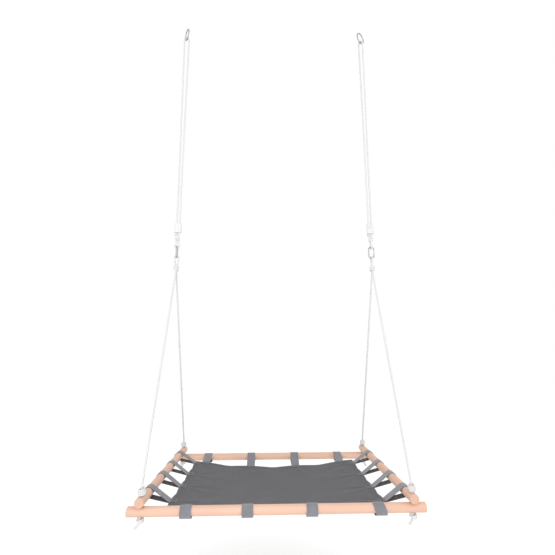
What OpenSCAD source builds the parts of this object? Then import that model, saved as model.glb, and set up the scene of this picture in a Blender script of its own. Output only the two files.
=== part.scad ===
// Platform swing: a canvas seat laced into a frame of four round wooden rails, hung from two
// steel rings by adjustable rope lines. Millimetres, +Z up, front of the seat towards -Y.
// The origin is midway between the two points where the rings hang from their hooks.

/* [Frame] */
// Length of the front and rear rails
cross_rail_len = 1000; // [850:10:1200]
// Length of the left and right rails
side_rail_len = 730; // [600:10:880]
// Diameter of every rail
rail_d = 32; // [26:1:40]
// Length of the front and rear rails outside the side rails' axes
cross_overhang = 44; // [30:1:80]
// Length of the side rails outside the front and rear rails' axes
side_overhang = 25; // [22:1:60]
// Play of the rope in the holes at the corners
rope_hole_play = 2; // [1:0.5:5]
// Rounding of the rail ends
rail_end_round = 2.5; // [1:0.5:5]

/* [Seat] */
// Distance from a side rail's axis to the canvas
seat_side_gap = 74; // [50:1:120]
// Distance from the front rail's axis to the canvas
seat_front_gap = 46; // [40:1:100]
// Distance from the rear rail's axis to the canvas
seat_rear_gap = 74; // [40:1:120]
// Thickness of the canvas with its hem
seat_t = 2.4; // [1.5:0.1:4]
// Sag of the front edge below the corners
front_sag = 14; // [0:1:45]
// Sag of the rear edge below the corners
rear_sag = 28; // [0:1:45]
// Sag of the left and right edges below the corners
side_sag = 4; // [0:1:15]
// Sag of the middle of the canvas below the corners
middle_sag = 40; // [0:1:70]
// Width of a webbing strap
strap_w = 38; // [25:1:50]
// Thickness of the webbing
strap_t = 1.8; // [1:0.1:3]
// Slack of the front and rear loops, which hang off the underside of their rails
loop_slack = 2.5; // [0:0.5:6]

/* [Ropes] */
// Diameter of the rope
rope_d = 8; // [6:0.5:9]
// Height of the V rope's join above the front rail's axis
v_height = 886; // [700:2:1100]
// Straight length of the doubled upper rope, from the adjuster to the ring
upper_len = 1002; // [700:4:1400]
// Room left inside the rope's bight beside the ring's wire
bight_room = 5; // [3:0.5:8]
// Room left inside an eye beside the hook's wire
eye_room = 3; // [2:0.5:5]
// Length of an eye from its knot to the far end of its bend
eye_len = 42; // [34:1:60]
// Width of a corner knot
corner_knot_d = 27; // [22:1:34]
// Height of a corner knot above the rail
corner_knot_h = 27; // [20:1:36]
// Height of a corner knot below the rail
under_knot_h = 19; // [14:1:26]
// Width of the knot that joins the V rope
join_knot_d = 25; // [20:1:32]
// Height of the knot that joins the V rope
join_knot_h = 30; // [22:1:40]
// Width of the upper rope's eye knot
eye_knot_d = 22; // [18:1:24]
// Height of the upper rope's eye knot
eye_knot_h = 22; // [16:1:30]

/* [Metal] */
// Outer diameter of a hanging ring
ring_od = 60; // [50:1:80]
// Wire diameter of a ring
ring_wire = 6; // [5:0.5:8]
// Turn of the left ring about the vertical
ring_turn_left = -60; // [-90:1:0]
// Turn of the right ring about the vertical
ring_turn_right = 41; // [0:1:90]
// Outer length of a snap hook
hook_len = 60; // [54:1:80]
// Outer width of a snap hook
hook_w = 30; // [28:1:36]
// Wire diameter of a snap hook
hook_wire = 6; // [5:0.5:7]
// Diameter of the gate
gate_d = 5.6; // [4.6:0.2:6.4]
// Diameter of the gate's rivet
rivet_d = 1.8; // [1.4:0.1:2.2]

/* [Adjuster] */
// Height of a rope adjuster
adjuster_h = 46; // [34:1:60]
// Play of the rope in the adjuster's two holes
adjuster_play = 1.2; // [0.8:0.1:2.5]
// Wall between the two holes
adjuster_web = 4.8; // [4:0.2:9]
// Wall outside the two holes
adjuster_end = 4.4; // [3:0.2:8]
// Wall in front of and behind the holes
adjuster_face = 2.4; // [1.8:0.1:5]
// Width of the stopper knot under the adjuster
stopper_d = 15; // [12:0.5:18]
// Height of the stopper knot
stopper_h = 16; // [12:1:22]

/* [Hidden] */

$fn = 64;
eps = 0.01;
rope_sides = 10;
rope_r = rope_d / 2;
wire_r = hook_wire / 2;
ring_wire_r = ring_wire / 2;
rail_r = rail_d / 2;
side_spacing = cross_rail_len - 2 * cross_overhang;
cross_spacing = side_rail_len - 2 * side_overhang;
rope_hole_d = rope_d + rope_hole_play;
bight_r = ring_wire_r + rope_r + bight_room;
eye_r = wire_r + rope_r + eye_room;
adjuster_bore = rope_d + adjuster_play;
adjuster_pitch = adjuster_bore + adjuster_web;
adjuster_w = adjuster_pitch + adjuster_bore + 2 * adjuster_end;
adjuster_depth = adjuster_bore + 2 * adjuster_face;

// Running clearances
ring_gap = 0.8;      // rope over a ring
hook_gap = 0.7;      // rope in a snap hook
pivot_gap = 0.4;     // rope end in a corner knot
strap_gap = 0.3;     // webbing round a rail
lap_gap = 0.4;       // webbing to the edge of the canvas
stopper_gap = 0.3;   // adjuster to its stopper knot
gate_gap = 0.3;      // gate to the hook's nose and shoulder
rivet_play = 0.05;   // gate's hole round its rivet

// Heights above the front and rear rails' axes
side_rail_h = rail_d;
corner_top_h = side_rail_h + rail_r + corner_knot_h;
pivot_h = corner_top_h + 1.5;
join_top_h = v_height + join_knot_h;
lower_eye_h = join_top_h + eye_len;
hook_low_h = lower_eye_h - rope_r - wire_r - hook_gap;
hook_span = hook_len - hook_wire;
hook_high_h = hook_low_h + hook_span;
upper_eye_h = hook_high_h - rope_r - wire_r - hook_gap;
eye_knot_low_h = upper_eye_h + eye_len - 9;
eye_knot_top_h = eye_knot_low_h + eye_knot_h;
stopper_low_h = eye_knot_top_h + 2;
adjuster_low_h = stopper_low_h + stopper_h + stopper_gap;
adjuster_top_h = adjuster_low_h + adjuster_h;
bight_h = adjuster_top_h + upper_len + bight_r;
ring_low_h = bight_h - rope_r - ring_wire_r - ring_gap;
ring_r = ring_od / 2 - ring_wire_r;
hang_h = ring_low_h + 2 * ring_r - ring_wire_r;

function level(h) = h - hang_h;

hook_arc_r = hook_w / 2 - wire_r;
hook_straight = hook_span / 2 - hook_arc_r;
gate_pivot_up = -hook_straight + 4.5;
gate_tip_up = hook_straight - 3.3;

seat_w = side_spacing - 2 * seat_side_gap;
seat_front = seat_front_gap - cross_spacing / 2;
seat_rear = cross_spacing / 2 - seat_rear_gap;
seat_depth = seat_rear - seat_front;
seat_mid = (seat_front + seat_rear) / 2;

// Rows of straps, as the webbing has settled along each rail: shares of the length that a
// strap's middle can take along the canvas edge
front_strap_x = (seat_w - strap_w) * [-0.421, -0.14, 0.157, 0.471];
rear_strap_x = (seat_w - strap_w) * [-0.453, -0.156, 0.143, 0.445];
left_strap_y = (seat_depth - strap_w) * [-0.437, -0.123, 0.176, 0.498];
right_strap_y = (seat_depth - strap_w) * [-0.487, -0.192, 0.119, 0.437];

// Canvas level at (x, y): the corners lie on the rails' own level
function bow(t) = 1 - t * t;
function seat_level(x, y) = let (
        a = bow(2 * x / seat_w), b = bow(2 * (y - seat_mid) / seat_depth),
        edge_sag = front_sag + (rear_sag - front_sag) * (y - seat_front) / seat_depth)
    level(0) - edge_sag * a - side_sag * b - (middle_sag - edge_sag - side_sag) * a * b;

// ---- Sweep of a round rope along points, with a fixed side direction ----
function unit(v) = v / norm(v);
function tangent(p, i) = unit(p[min(i + 1, len(p) - 1)] - p[max(i - 1, 0)]);
function rope_ring(p, i, side, r) = let (
        t = tangent(p, i), u = unit(side - (side * t) * t), w = cross(t, u))
    [for (k = [0 : rope_sides - 1]) let (a = (k + 0.5) * 360 / rope_sides)
        p[i] + r * (cos(a) * u + sin(a) * w)];

module rope(points, side, r = rope_r) {
    n = len(points);
    m = rope_sides;
    polyhedron(
        points = [for (i = [0 : n - 1]) each rope_ring(points, i, side, r)],
        faces = [
            [for (k = [0 : m - 1]) k],
            for (i = [0 : n - 2], k = [0 : m - 1])
                [i * m + k, (i + 1) * m + k, (i + 1) * m + (k + 1) % m, i * m + (k + 1) % m],
            [for (k = [m - 1 : -1 : 0]) (n - 1) * m + k]]);
}

// A pulled-tight knot: a barrel with rounded shoulders, standing on z = 0
module knot(d, h, round = 5) {
    r = d / 2;
    rotate_extrude() {
        square([r - round, h]);
        translate([0, round]) square([r, h - 2 * round]);
        for (z = [round, h - round])
            intersection() {
                translate([r - round, z]) circle(round);
                square([r, h]);
            }
    }
}

// ---- Rings ----
module ring(side, turn) {
    translate([side * side_spacing / 2, 0, level(ring_low_h + ring_r)])
        rotate([90, 0, turn]) rotate_extrude() translate([ring_r, 0]) circle(ring_wire_r);
}

module ring_left() { color("silver") ring(-1, ring_turn_left); }
module ring_right() { color("silver") ring(1, ring_turn_right); }

// ---- Upper rope: from the stopper knot through the adjuster, over the ring and back ----
parallel_len = 260;

module upper_rope(side, turn) {
    x0 = side * side_spacing / 2;
    half = adjuster_pitch / 2;
    across = [sin(-turn), cos(turn), 0] * side * -1;
    spread = function (s) [x0, 0, level(bight_h - bight_r)] + s * bight_r * across;
    arch = [for (a = [0 : 15 : 180])
        [x0, 0, level(bight_h - bight_r)]
        + bight_r * (-cos(a) * across + [0, 0, sin(a)])];
    low = level(stopper_low_h + stopper_h);
    rope(concat(
        [[x0 - half, 0, low],
         [x0 - half, 0, level(adjuster_top_h + parallel_len)],
         spread(-1) * 0.5 + [x0 - half, 0, level(adjuster_top_h + parallel_len)] * 0.5],
        arch,
        [spread(1) * 0.5 + [x0 + half, 0, level(adjuster_top_h + parallel_len)] * 0.5,
         [x0 + half, 0, level(adjuster_top_h + parallel_len)],
         [x0 + half, 0, level(adjuster_low_h - 1)],
         [x0 + half - 1, 0, level(adjuster_low_h - 6)],
         [x0 + half - 2, 0, level(adjuster_low_h - 13)],
         [x0 + half - 2, 0, level(eye_knot_top_h)]]),
        [across[1], -across[0], 0]);
}

module upper_rope_left() { color("white") upper_rope(-1, ring_turn_left); }
module upper_rope_right() { color("white") upper_rope(1, ring_turn_right); }

module stopper_knot(side) {
    translate([side * side_spacing / 2 - adjuster_pitch / 2 - 1, 0, level(stopper_low_h)])
        knot(stopper_d, stopper_h, 3);
}

module stopper_knot_left() { color("white") stopper_knot(-1); }
module stopper_knot_right() { color("white") stopper_knot(1); }

module eye_knot(side) {
    translate([side * side_spacing / 2, 0, level(eye_knot_low_h)])
        knot(eye_knot_d, eye_knot_h, 2.5);
}

module eye_knot_left() { color("white") eye_knot(-1); }
module eye_knot_right() { color("white") eye_knot(1); }

// An eye: two legs out of a knot joined by a half turn; way is +1 for an arch, -1 for a U.
// The legs leave the knot side by side, at leg_gap from its middle.
leg_gap = rope_r + 1;
module eye(side, turn, end_h, knot_h, way) {
    x0 = side * side_spacing / 2;
    e = [cos(turn), sin(turn), 0];
    bend = [x0, 0, level(end_h - way * eye_r)];
    foot = [x0, 0, level(knot_h)];
    lead = [x0, 0, level(knot_h + way * 2)];
    short = [x0, 0, level(knot_h + way * 7)];
    rope(concat(
        [foot - leg_gap * e, lead - leg_gap * e, short - (leg_gap + 1) * e],
        [for (a = [0 : 15 : 180]) bend + eye_r * (-cos(a) * e + way * [0, 0, sin(a)])],
        [short + (leg_gap + 1) * e, lead + leg_gap * e, foot + leg_gap * e]),
        [-e[1], e[0], 0]);
}

module upper_eye_left() { color("white") eye(-1, 0, upper_eye_h, eye_knot_low_h, -1); }
module upper_eye_right() { color("white") eye(1, 90, upper_eye_h, eye_knot_low_h, -1); }
module lower_eye_left() { color("white") eye(-1, 0, lower_eye_h, join_top_h, 1); }
module lower_eye_right() { color("white") eye(1, 90, lower_eye_h, join_top_h, 1); }

// ---- Rope adjuster: a rounded bar with two holes along its length ----
module adjuster(side) {
    c = 5;
    translate([side * side_spacing / 2, 0, level(adjuster_low_h)])
        difference() {
            linear_extrude(adjuster_h) {
                square([adjuster_w - 2 * c, adjuster_depth], center = true);
                square([adjuster_w, adjuster_depth - 2 * c], center = true);
                for (x = [-1, 1], y = [-1, 1])
                    translate([x * (adjuster_w / 2 - c), y * (adjuster_depth / 2 - c)]) circle(c);
            }
            for (x = [-1, 1])
                translate([x * adjuster_pitch / 2, 0, -1])
                    cylinder(d = adjuster_bore, h = adjuster_h + 2);
        }
}

module adjuster_left() { color("white") adjuster(-1); }
module adjuster_right() { color("white") adjuster(1); }

// ---- Snap hook: drawn in its own XZ plane about its middle, gate on the +X side ----
module at_hook(side) {
    translate([side * side_spacing / 2, 0, level((hook_low_h + hook_high_h) / 2)])
        rotate([0, 0, side < 0 ? 90 : 0]) children();
}

module along_y(d, h) { rotate([90, 0, 0]) cylinder(d = d, h = h, center = true); }

lug_t = 2.2;
lug_d = gate_d;

module hook_body(side) {
    at_hook(side) difference() {
        union() {
            for (way = [0, 180])
                translate([0, 0, way == 0 ? hook_straight : -hook_straight])
                    rotate([90, way, 0]) rotate_extrude(angle = 180)
                        translate([hook_arc_r, 0]) circle(wire_r);
            translate([-hook_arc_r, 0, -hook_straight - eps])
                cylinder(r = wire_r, h = 2 * hook_straight + 2 * eps);
            translate([hook_arc_r, 0, gate_tip_up + gate_gap])
                cylinder(r = wire_r, h = hook_straight - gate_tip_up - gate_gap + eps);
            translate([hook_arc_r, 0, -hook_straight - eps])
                cylinder(r = wire_r, h = gate_pivot_up + hook_straight - gate_d / 2 - gate_gap);
            translate([hook_arc_r - lug_d / 2, -lug_t / 2, -hook_straight])
                cube([lug_d, lug_t, gate_pivot_up + hook_straight]);
            translate([hook_arc_r, 0, gate_pivot_up]) along_y(lug_d, lug_t);
        }
        translate([hook_arc_r, 0, gate_pivot_up]) along_y(rivet_d, 3 * lug_t);
    }
}

module hook_body_left() { color("gray") hook_body(-1); }
module hook_body_right() { color("gray") hook_body(1); }

module hook_rivet(side) {
    at_hook(side) translate([hook_arc_r, 0, gate_pivot_up]) along_y(rivet_d, gate_d - 0.4);
}

module hook_rivet_left() { color("dimgray") hook_rivet(-1); }
module hook_rivet_right() { color("dimgray") hook_rivet(1); }

slot_t = lug_t + 0.5;
slot_top = gate_pivot_up + lug_d / 2 + gate_gap + 0.1;
spring_bore = 3.2;
spring_top = gate_tip_up - 5;

module gate(side) {
    at_hook(side) difference() {
        union() {
            translate([hook_arc_r, 0, gate_pivot_up])
                cylinder(d = gate_d, h = gate_tip_up - gate_pivot_up);
            translate([hook_arc_r, 0, gate_pivot_up]) along_y(gate_d, gate_d - 0.8);
        }
        translate([hook_arc_r - gate_d, -slot_t / 2, gate_pivot_up - gate_d])
            cube([2 * gate_d, slot_t, slot_top - gate_pivot_up + gate_d]);
        translate([hook_arc_r, 0, slot_top - eps]) cylinder(d = spring_bore, h = spring_top - slot_top);
        translate([hook_arc_r, 0, gate_pivot_up]) along_y(rivet_d + 2 * rivet_play, 2 * gate_d);
    }
}

module gate_left() { color("gray") gate(-1); }
module gate_right() { color("gray") gate(1); }

// Coil spring inside the gate
spring_wire_r = 0.25;
spring_coil_r = 1.1;
spring_turns = 6;

module gate_spring(side) {
    low = slot_top + 0.4;
    high = spring_top - 0.5;
    steps = 10 * spring_turns;
    at_hook(side) translate([hook_arc_r, 0, low])
        rope([for (i = [0 : steps]) let (a = 36 * i)
            [spring_coil_r * cos(a), spring_coil_r * sin(a), (high - low) * i / steps]],
            [0, 0, 1], spring_wire_r);
}

module gate_spring_left() { color("dimgray") gate_spring(-1); }
module gate_spring_right() { color("dimgray") gate_spring(1); }

// ---- V rope: join knot and two legs a side ----
module join_knot(side) {
    translate([side * side_spacing / 2, 0, level(v_height)]) knot(join_knot_d, join_knot_h, 6);
}

module join_knot_left() { color("white") join_knot(-1); }
module join_knot_right() { color("white") join_knot(1); }

module v_rope(side, way) {
    x = side * side_spacing / 2;
    yl = cross_spacing / 2;
    start = [x, way * leg_gap, level(v_height)];
    finish = [x, way * yl, level(pivot_h)];
    bend = [x, way * (leg_gap + 2), level(v_height - 10)];
    lead = unit(finish - bend);
    union() {
        rope([start,
              [x, way * leg_gap, level(v_height - 2)],
              bend,
              bend + 12 * lead,
              finish], [1, 0, 0]);
        translate(finish) sphere(rope_r - 0.05, $fn = 32);
    }
}

module v_rope_front_left() { color("white") v_rope(-1, -1); }
module v_rope_rear_left() { color("white") v_rope(-1, 1); }
module v_rope_front_right() { color("white") v_rope(1, -1); }
module v_rope_rear_right() { color("white") v_rope(1, 1); }

// ---- Corner knots on the side rails, with a cup that the rope's end turns in ----
module at_corner(side, way) {
    translate([side * side_spacing / 2, way * cross_spacing / 2, 0]) children();
}

module corner_knot(side, way) {
    at_corner(side, way) difference() {
        translate([0, 0, level(side_rail_h + rail_r)]) knot(corner_knot_d, corner_knot_h, 6);
        translate([0, 0, level(pivot_h)]) sphere(rope_r + pivot_gap);
    }
}

module corner_knot_front_left() { color("white") corner_knot(-1, -1); }
module corner_knot_rear_left() { color("white") corner_knot(-1, 1); }
module corner_knot_front_right() { color("white") corner_knot(1, -1); }
module corner_knot_rear_right() { color("white") corner_knot(1, 1); }

// ---- Rope through both rails, with the knot and the free tail under them ----
module rope_tail(side, way, lean) {
    under = level(-rail_r - under_knot_h);
    at_corner(side, way) {
        rope([[0, 0, level(side_rail_h + rail_r)], [0, 0, level(-rail_r)]], [1, 0, 0]);
        translate([0, 0, under]) knot(corner_knot_d, under_knot_h, 5);
        rope([[lean[0] * 3, lean[1] * 3, under],
              [lean[0] * 5, lean[1] * 5, under - 5],
              [lean[0] * 9, lean[1] * 9, under - 11],
              [lean[0] * 15, lean[1] * 15, under - 15]], [-lean[1], lean[0], 0]);
    }
}

module rope_tail_front_left() { color("white") rope_tail(-1, -1, [-1, -0.2]); }
module rope_tail_rear_left() { color("white") rope_tail(-1, 1, [-0.8, 0.5]); }
module rope_tail_front_right() { color("white") rope_tail(1, -1, [-1, -0.3]); }
module rope_tail_rear_right() { color("white") rope_tail(1, 1, [0.9, 0.3]); }

// ---- Rails: the front and rear rails lie under the side rails ----
module rail(len, spacing) {
    r = rail_r;
    c = rail_end_round;
    difference() {
        rotate([0, 90, 0]) translate([0, 0, -len / 2]) rotate_extrude() {
            square([r - c, len]);
            translate([0, c]) square([r, len - 2 * c]);
            for (z = [c, len - c])
                intersection() {
                    translate([r - c, z]) circle(c);
                    square([r, len]);
                }
        }
        for (s = [-1, 1])
            translate([s * spacing / 2, 0, -rail_d]) cylinder(d = rope_hole_d, h = 2 * rail_d);
    }
}

module cross_rail(way) {
    translate([0, way * cross_spacing / 2, level(0)]) rail(cross_rail_len, side_spacing);
}

module side_rail(side) {
    translate([side * side_spacing / 2, 0, level(side_rail_h)])
        rotate([0, 0, 90]) rail(side_rail_len, cross_spacing);
}

module rail_front() { color("burlywood") cross_rail(-1); }
module rail_rear() { color("burlywood") cross_rail(1); }
module rail_left() { color("tan") side_rail(-1); }
module rail_right() { color("tan") side_rail(1); }

// ---- Seat: a canvas panel that sags between its straps ----
seat_cells_x = 20;
seat_cells_y = 14;

module seat_canvas() {
    nx = seat_cells_x;
    ny = seat_cells_y;
    m = ny + 1;
    count = (nx + 1) * m;
    function at(i, j, lift) = let (
            x = -seat_w / 2 + seat_w * i / nx, y = seat_front + seat_depth * j / ny)
        [x, y, seat_level(x, y) + lift];
    color("dimgray") polyhedron(
        points = [for (lift = [seat_t / 2, -seat_t / 2], i = [0 : nx], j = [0 : ny])
            at(i, j, lift)],
        faces = [
            for (i = [0 : nx - 1], j = [0 : ny - 1]) let (a = i * m + j)
                each [[a, a + 1, a + m + 1], [a, a + m + 1, a + m]],
            for (i = [0 : nx - 1], j = [0 : ny - 1]) let (a = count + i * m + j)
                each [[a, a + m + 1, a + 1], [a, a + m, a + m + 1]],
            for (i = [0 : nx - 1]) let (a = i * m, b = count + a)
                each [[a, a + m, b + m], [a, b + m, b]],
            for (i = [0 : nx - 1]) let (a = i * m + ny, b = count + a)
                each [[a, b + m, a + m], [a, b, b + m]],
            for (j = [0 : ny - 1]) let (a = j, b = count + a)
                each [[a, b + 1, a + 1], [a, b, b + 1]],
            for (j = [0 : ny - 1]) let (a = nx * m + j, b = count + a)
                each [[a, a + 1, b + 1], [a, b + 1, b]]]);
}

// ---- Webbing loop: a tear-drop band round a rail, drawn to a point at the canvas edge ----
// The rail's axis is at the origin and the canvas edge is reach away along +X. The loop's end
// is cut upright, beside the canvas edge, however steeply the loop lies.
function tear(r, reach) = let (a0 = acos(r / reach), n = 28)
    concat([[reach, 0]], [for (i = [0 : n]) let (a = a0 + (360 - 2 * a0) * i / n)
        r * [cos(a), sin(a)]]);

module webbing_loop(reach, rise, slack) {
    inner = rail_r + strap_gap + slack;
    cut = reach * cos(rise) - lap_gap;
    // a slack loop rests on the rail's top, so its middle lies lower than the rail's axis
    module hung(r, long) {
        rotate(-rise) translate([0, -slack]) rotate(rise)
            rotate(atan2(slack, reach)) polygon(tear(r, long));
    }
    rotate([90, 0, 0]) linear_extrude(strap_w, center = true)
        difference() {
            intersection() {
                hung(inner + strap_t, reach + 9);
                rotate(-rise) translate([-2 * rail_d, -2 * rail_d])
                    square([2 * rail_d + cut, 4 * rail_d]);
            }
            hung(inner, reach - 6);
        }
}

// A loop from a rail at (x, y, z) towards the canvas edge point at (ex, ey)
module strap(rail_at, edge, slack) {
    edge_z = seat_level(edge[0], edge[1]);
    d = [edge[0] - rail_at[0], edge[1] - rail_at[1], edge_z - rail_at[2]];
    rise = atan2(d[2], norm([d[0], d[1]]));
    translate(rail_at)
        rotate([0, 0, atan2(d[1], d[0])])
            rotate([0, -rise, 0]) webbing_loop(norm(d), rise, slack);
}

module cross_strap(x, way) {
    color("slategray") strap([x, way * cross_spacing / 2, level(0)],
        [x, way < 0 ? seat_front : seat_rear], loop_slack);
}

module side_strap(y, side) {
    color("slategray") strap([side * side_spacing / 2, y, level(side_rail_h)],
        [side * seat_w / 2, y], 0);
}

ring_left();
ring_right();
upper_rope_left();
upper_rope_right();
stopper_knot_left();
stopper_knot_right();
eye_knot_left();
eye_knot_right();
upper_eye_left();
upper_eye_right();
adjuster_left();
adjuster_right();
hook_body_left();
hook_body_right();
hook_rivet_left();
hook_rivet_right();
gate_left();
gate_right();
gate_spring_left();
gate_spring_right();
lower_eye_left();
lower_eye_right();
join_knot_left();
join_knot_right();
v_rope_front_left();
v_rope_rear_left();
v_rope_front_right();
v_rope_rear_right();
corner_knot_front_left();
corner_knot_rear_left();
corner_knot_front_right();
corner_knot_rear_right();
rope_tail_front_left();
rope_tail_rear_left();
rope_tail_front_right();
rope_tail_rear_right();
rail_front();
rail_rear();
rail_left();
rail_right();
seat_canvas();
for (i = [0 : 3]) {
    cross_strap(front_strap_x[i], -1);
    cross_strap(rear_strap_x[i], 1);
    side_strap(seat_mid + left_strap_y[i], -1);
    side_strap(seat_mid + right_strap_y[i], 1);
}
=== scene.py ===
# Platform swing: a canvas seat laced with webbing into four round wooden rails, hung from two
# steel rings by adjustable braided ropes. Metres, +Z up, front of the seat towards -Y.
import math

import bmesh
import bpy
import numpy as np
from mathutils import Matrix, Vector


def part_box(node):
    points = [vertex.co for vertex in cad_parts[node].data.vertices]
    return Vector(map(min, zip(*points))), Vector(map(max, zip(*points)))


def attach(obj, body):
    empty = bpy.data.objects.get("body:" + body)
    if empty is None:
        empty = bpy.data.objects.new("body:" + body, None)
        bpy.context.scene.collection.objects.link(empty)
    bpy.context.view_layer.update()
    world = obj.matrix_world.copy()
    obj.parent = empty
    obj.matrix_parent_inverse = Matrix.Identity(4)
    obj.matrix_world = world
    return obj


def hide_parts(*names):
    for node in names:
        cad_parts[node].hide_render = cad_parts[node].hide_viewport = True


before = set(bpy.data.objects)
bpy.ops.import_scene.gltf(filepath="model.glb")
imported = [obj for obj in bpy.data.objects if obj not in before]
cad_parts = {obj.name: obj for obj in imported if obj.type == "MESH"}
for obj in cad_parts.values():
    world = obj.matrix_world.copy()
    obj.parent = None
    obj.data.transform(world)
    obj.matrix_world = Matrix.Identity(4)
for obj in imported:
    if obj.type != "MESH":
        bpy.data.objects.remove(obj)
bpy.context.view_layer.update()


# ---- Camera: in front of the seat, a little above it, looking slightly up ----
def middle(node):
    """The middle of a CAD node's box."""
    low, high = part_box(node)
    return (low + high) / 2


rail_level = middle("rail_front").z
camera = bpy.data.objects.new("camera", bpy.data.cameras.new("camera"))
bpy.context.scene.collection.objects.link(camera)
camera.data.sensor_width = 36.0
camera.data.lens = 25.10
camera.data.clip_start, camera.data.clip_end = 0.02, 60.0
camera.location = (-0.0429, -1.7592, rail_level + 0.5149)
camera.rotation_euler = (Matrix.Rotation(-0.03113, 3, "Z")
                         @ Matrix.Rotation(math.pi / 2 + 0.19203, 3, "X")
                         @ Matrix.Rotation(-0.00383, 3, "Z")).to_euler()
bpy.context.scene.camera = camera


# ---- Upper ropes ----
# White 8 mm rope, braided from sixteen strands of polyester. Each one is doubled over its ring:
# one end is knotted under the adjuster, the other runs down through it into the eye knot.
class Shade:
    """Wraps a shader socket. Operators add Math nodes, and node() adds any other node: its
    settings are set first, then the values or links of its sockets."""

    def __init__(self, tree, out=None):
        self.tree, self.out = tree, out

    def node(self, kind, settings=None, inputs=None, output=0):
        made = self.tree.nodes.new(kind)
        for key, value in (settings or {}).items():
            setattr(made, key, value)
        for key, value in (inputs or {}).items():
            if isinstance(value, Shade):
                self.tree.links.new(value.out, made.inputs[key])
            else:
                made.inputs[key].default_value = value
        return Shade(self.tree, made.outputs[output])

    def math(self, operation, other=0.0):
        return self.node("ShaderNodeMath", {"operation": operation}, {0: self, 1: other})

    def __add__(self, other): return self.math("ADD", other)
    def __mul__(self, other): return self.math("MULTIPLY", other)
    def __sub__(self, other): return self.math("SUBTRACT", other)
    def __rsub__(self, other): return self * -1.0 + other
    __radd__, __rmul__ = __add__, __mul__

    def sin(self): return self.math("SINE")
    def floor(self): return self.math("FLOOR")
    def part(self): return self.math("FRACT")
    def size(self): return self.math("ABSOLUTE")
    def least(self, other): return self.math("MINIMUM", other)
    def most(self, other): return self.math("MAXIMUM", other)
    def power(self, other): return self.math("POWER", other)

    def between(self, low, high):
        """0 below low, 1 above high, and smooth between them."""
        return self.node("ShaderNodeMapRange", {"interpolation_type": "SMOOTHSTEP"},
                         {"Value": self, "From Min": low, "From Max": high})

    def mixed(self, first, second):
        """The first colour where this is 0 and the second where it is 1."""
        first, second = ((*c, 1.0) if isinstance(c, tuple) else c for c in (first, second))
        return self.node("ShaderNodeMix", {"data_type": "RGBA"}, {0: self, 6: first, 7: second}, 2)

    def on_object(self):
        """Object coordinates, in metres."""
        return self.node("ShaderNodeTexCoord", None, None, "Object")

    def axes(self):
        """The three numbers of a vector."""
        split = self.node("ShaderNodeSeparateXYZ", None, {0: self})
        node = split.out.node
        return tuple(Shade(self.tree, node.outputs[k]) for k in range(3))

    def noise(self, scale, detail=2.0, rough=0.5):
        """Soft random values round 0.5, with scale cells a metre."""
        return self.node("ShaderNodeTexNoise", None,
                         {"Vector": self, "Scale": scale, "Detail": detail, "Roughness": rough})

    def stretched(self, x, y, z):
        """A pattern's coordinates, multiplied along each axis."""
        return self.node("ShaderNodeMapping", None, {"Vector": self, "Scale": (x, y, z)})


def finish(name, **fixed):
    """A new material; its fixed values go straight onto the shader's sockets."""
    material = bpy.data.materials.new(name)
    material.use_nodes = True
    shader = material.node_tree.nodes["Principled BSDF"]
    for key, value in fixed.items():
        shader.inputs[key.replace("_", " ").title()].default_value = value
    return material, Shade(material.node_tree)


def dress(material, colour=None, roughness=None, height=None, depth=0.0003, strength=0.6):
    """Links a colour, a roughness and a bump height, given in parts of depth, to the shader."""
    tree = material.node_tree
    shader = tree.nodes["Principled BSDF"]
    if colour:
        tree.links.new(colour.out, shader.inputs["Base Color"])
    if roughness:
        tree.links.new(roughness.out, shader.inputs["Roughness"])
    if height:
        bump = height.node("ShaderNodeBump", None,
                           {"Strength": strength, "Distance": depth, "Height": height})
        tree.links.new(bump.out, shader.inputs["Normal"])
    return material


braid_strands, braid_pitch = 8, 0.0036  # strands each way, and a cell's length along the rope
yarn_waves = 31.4                       # five yarns lie side by side in a strand


def braid_finish():
    """White braid. Two families of strands wind round the rope at about 45 degrees each way; they
    cross in cells, and in each cell the strand swells towards its middle. Which family lies on
    top changes from cell to cell, as on a chessboard, and turns the direction of its yarns."""
    material, shade = finish("rope_white_braid", sheen_weight=0.25, sheen_roughness=0.5)
    u, v, _ = shade.node("ShaderNodeUVMap", {"uv_map": "surface"}).axes()
    turn, rise = u * float(braid_strands), v * (1 / braid_pitch)
    a, b = turn + rise, turn - rise
    swell = ((a.part() * math.pi).sin() * (b.part() * math.pi).sin()).power(0.5)
    on_top = ((a.floor() + b.floor()) * 0.5).part() * 2.0
    yarns = on_top * (a * yarn_waves).sin() + (1.0 - on_top) * (b * yarn_waves).sin()
    where = shade.on_object()
    grime = where.noise(38.0, 3.0)
    crease_shade = 1.0 - swell
    # painted shade: the creases between the swelling strands are darkened towards grey
    colour = (crease_shade * crease_shade * 0.8).mixed((0.70, 0.696, 0.688), (0.43, 0.427, 0.42))
    colour = grime.between(0.52, 0.78).mixed(colour, (0.615, 0.60, 0.575))
    return dress(material, colour, 0.62 + grime * 0.2, swell + yarns * 0.07, 0.0007, 0.8)


def unit(vectors):
    """Each vector divided by its length."""
    return vectors / np.linalg.norm(vectors, axis=-1, keepdims=True)


def soften(points, cuts=3):
    """Rounds a route's corners: each pass keeps the two ends and puts points at a quarter and
    three quarters of every side."""
    p = np.asarray(points, float)
    for _ in range(cuts):
        quarter = 0.75 * p[:-1] + 0.25 * p[1:]
        three = 0.25 * p[:-1] + 0.75 * p[1:]
        p = np.vstack([p[:1], np.stack([quarter, three], 1).reshape(-1, 3), p[-1:]])
    return p


def length_along(path):
    """The distance gone at each point of a route."""
    return np.concatenate([[0.0], np.cumsum(np.linalg.norm(np.diff(path, axis=0), axis=1))])


def evenly(path, step):
    """The same route with its points about step apart."""
    gone = length_along(path)
    at = np.linspace(0.0, gone[-1], max(3, int(round(gone[-1] / step)) + 1))
    return np.stack([np.interp(at, gone, path[:, k]) for k in range(3)], 1)


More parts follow.
